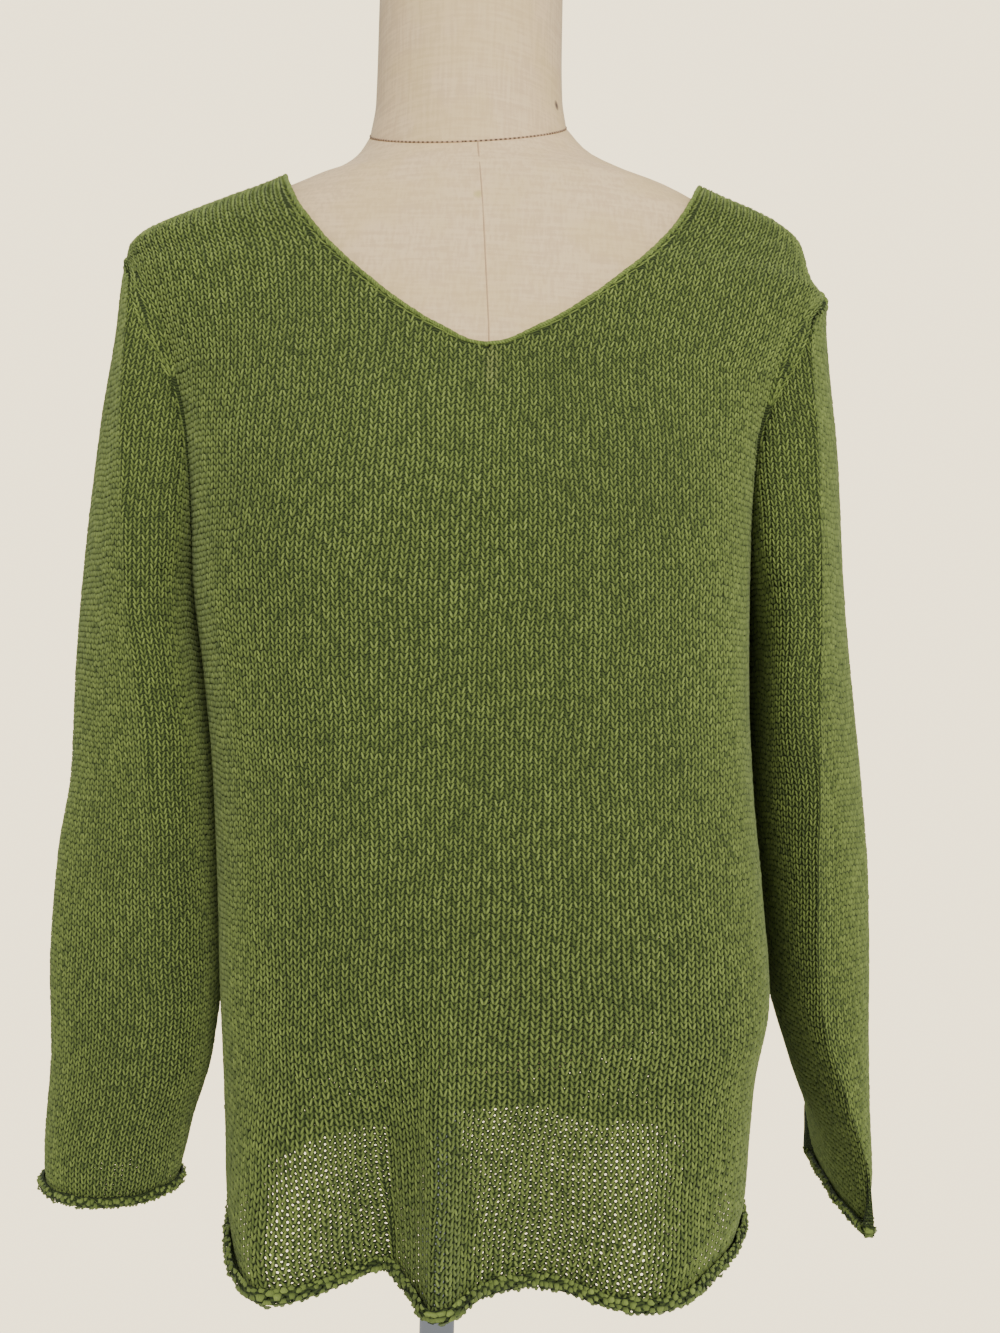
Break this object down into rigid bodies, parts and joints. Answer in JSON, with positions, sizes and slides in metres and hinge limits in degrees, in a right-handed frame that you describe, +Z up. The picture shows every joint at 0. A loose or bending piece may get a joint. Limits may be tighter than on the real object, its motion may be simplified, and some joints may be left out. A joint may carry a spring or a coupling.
{
  "type": "v-neck sweater on dress form with stand",
  "caption": "Long-sleeved knitted v-neck sweater with curled hem and cuffs, worn by a limbless dress form on a pole with a round base.",
  "frame": {"origin": "on the pole's axis at the underside of the base, where it stands on the floor", "axes": "+Z up along the pole; -Y out of the sweater's front; +X to the viewer's right"},
  "size_m": [0.5232, 0.3063, 1.5103],
  "materials": {
    "knit": "plain cotton knit, stockinette, matt",
    "linen": "plain woven cover, matt",
    "cap": "satin varnish",
    "chrome": "polished",
    "paint": "satin powder coat"
  },
  "bodies": {
    "root": {"front": "knit", "back": "knit", "sleeve_right": "knit", "sleeve_left": "knit", "form_torso": "linen", "form_neck": "linen", "neck_cap": "cap", "form_plate": "paint", "pole": "chrome", "base_socket": "chrome", "base": "paint"}
  },
  "joints": []
}
